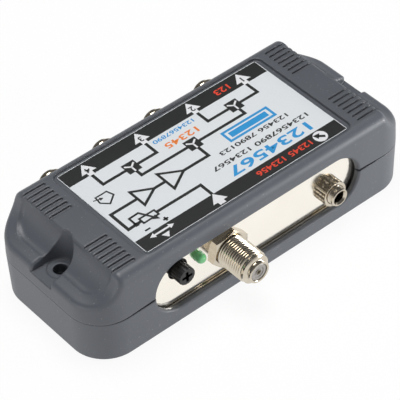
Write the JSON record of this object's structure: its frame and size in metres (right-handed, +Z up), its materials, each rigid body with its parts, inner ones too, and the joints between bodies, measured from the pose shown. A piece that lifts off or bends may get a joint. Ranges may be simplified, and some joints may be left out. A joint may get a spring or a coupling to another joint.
{
  "type": "tv signal amplifier",
  "caption": "Indoor aerial signal amplifier and splitter: a shielded box with screw coaxial ports and a gain trimmer, in a flat moulded case with scooped screw-down ends.",
  "frame": {"origin": "centre of the case's underside", "axes": "+Z up out of the label, +X along the case towards the power socket's end, -Y out of the front with the input port"},
  "size_m": [0.112, 0.0659, 0.0282],
  "materials": {
    "case_plastic": "fine satin moulding",
    "label_print": "printed satin film",
    "screw_steel": "zinc plated",
    "tinned_sheet": "bright tin plate",
    "board_laminate": "green solder resist",
    "nickel_plate": "bright nickel",
    "port_insulator": "natural plastic",
    "port_contact": "plated brass",
    "tinned_leads": "tinned wire",
    "black_moulding": "moulded",
    "trimmer_plastic": "moulded",
    "green_lens": "tinted diffuse resin",
    "capacitor_sleeve": "heat shrunk sleeve",
    "part_epoxy": "moulded epoxy",
    "ferrite": "sintered ferrite",
    "chip_ceramic": "fired ceramic"
  },
  "bodies": {
    "amplifier": {"top_shell": "case_plastic", "bottom_shell": "case_plastic", "top_label": "label_print", "case_screws": "screw_steel", "shield_frame": "tinned_sheet", "shield_top_lid": "tinned_sheet", "shield_bottom_lid": "tinned_sheet", "circuit_board": "board_laminate", "input_connector_body": "nickel_plate", "input_connector_insulator": "port_insulator", "input_connector_contact": "port_contact", "output_1_connector_body": "nickel_plate", "output_1_connector_insulator": "port_insulator", "output_1_connector_contact": "port_contact", "output_2_connector_body": "nickel_plate", "output_2_connector_insulator": "port_insulator", "output_2_connector_contact": "port_contact", "output_3_connector_body": "nickel_plate", "output_3_connector_insulator": "port_insulator", "output_3_connector_contact": "port_contact", "output_4_connector_body": "nickel_plate", "output_4_connector_insulator": "port_insulator", "output_4_connector_contact": "port_contact", "connector_nuts": "nickel_plate", "power_socket_bushing": "nickel_plate", "power_socket_housing": "black_moulding", "power_socket_spring": "tinned_leads", "power_socket_nut": "nickel_plate", "power_socket_lugs": "tinned_leads", "status_light": "green_lens", "status_light_leads": "tinned_leads", "gain_trimmer_housing": "black_moulding", "gain_trimmer_pins": "tinned_leads", "supply_capacitor": "capacitor_sleeve", "voltage_regulator": "part_epoxy", "input_transistor": "part_epoxy", "output_transistor": "part_epoxy", "splitter_core_1": "ferrite", "splitter_core_2": "ferrite", "splitter_core_3": "ferrite", "supply_choke": "ferrite", "chip_resistors": "part_epoxy", "chip_capacitors": "chip_ceramic"},
    "trimmer": {"gain_trimmer_shaft": "trimmer_plastic"}
  },
  "joints": [
    {"name": "gain_trimmer_turn", "type": "hinge", "parent": "amplifier", "child": "trimmer", "pos_m": [-0.02679, -0.0207, 0.0175], "axis": [0, -1, 0], "range_deg": [-117.5, 117.5]}
  ]
}
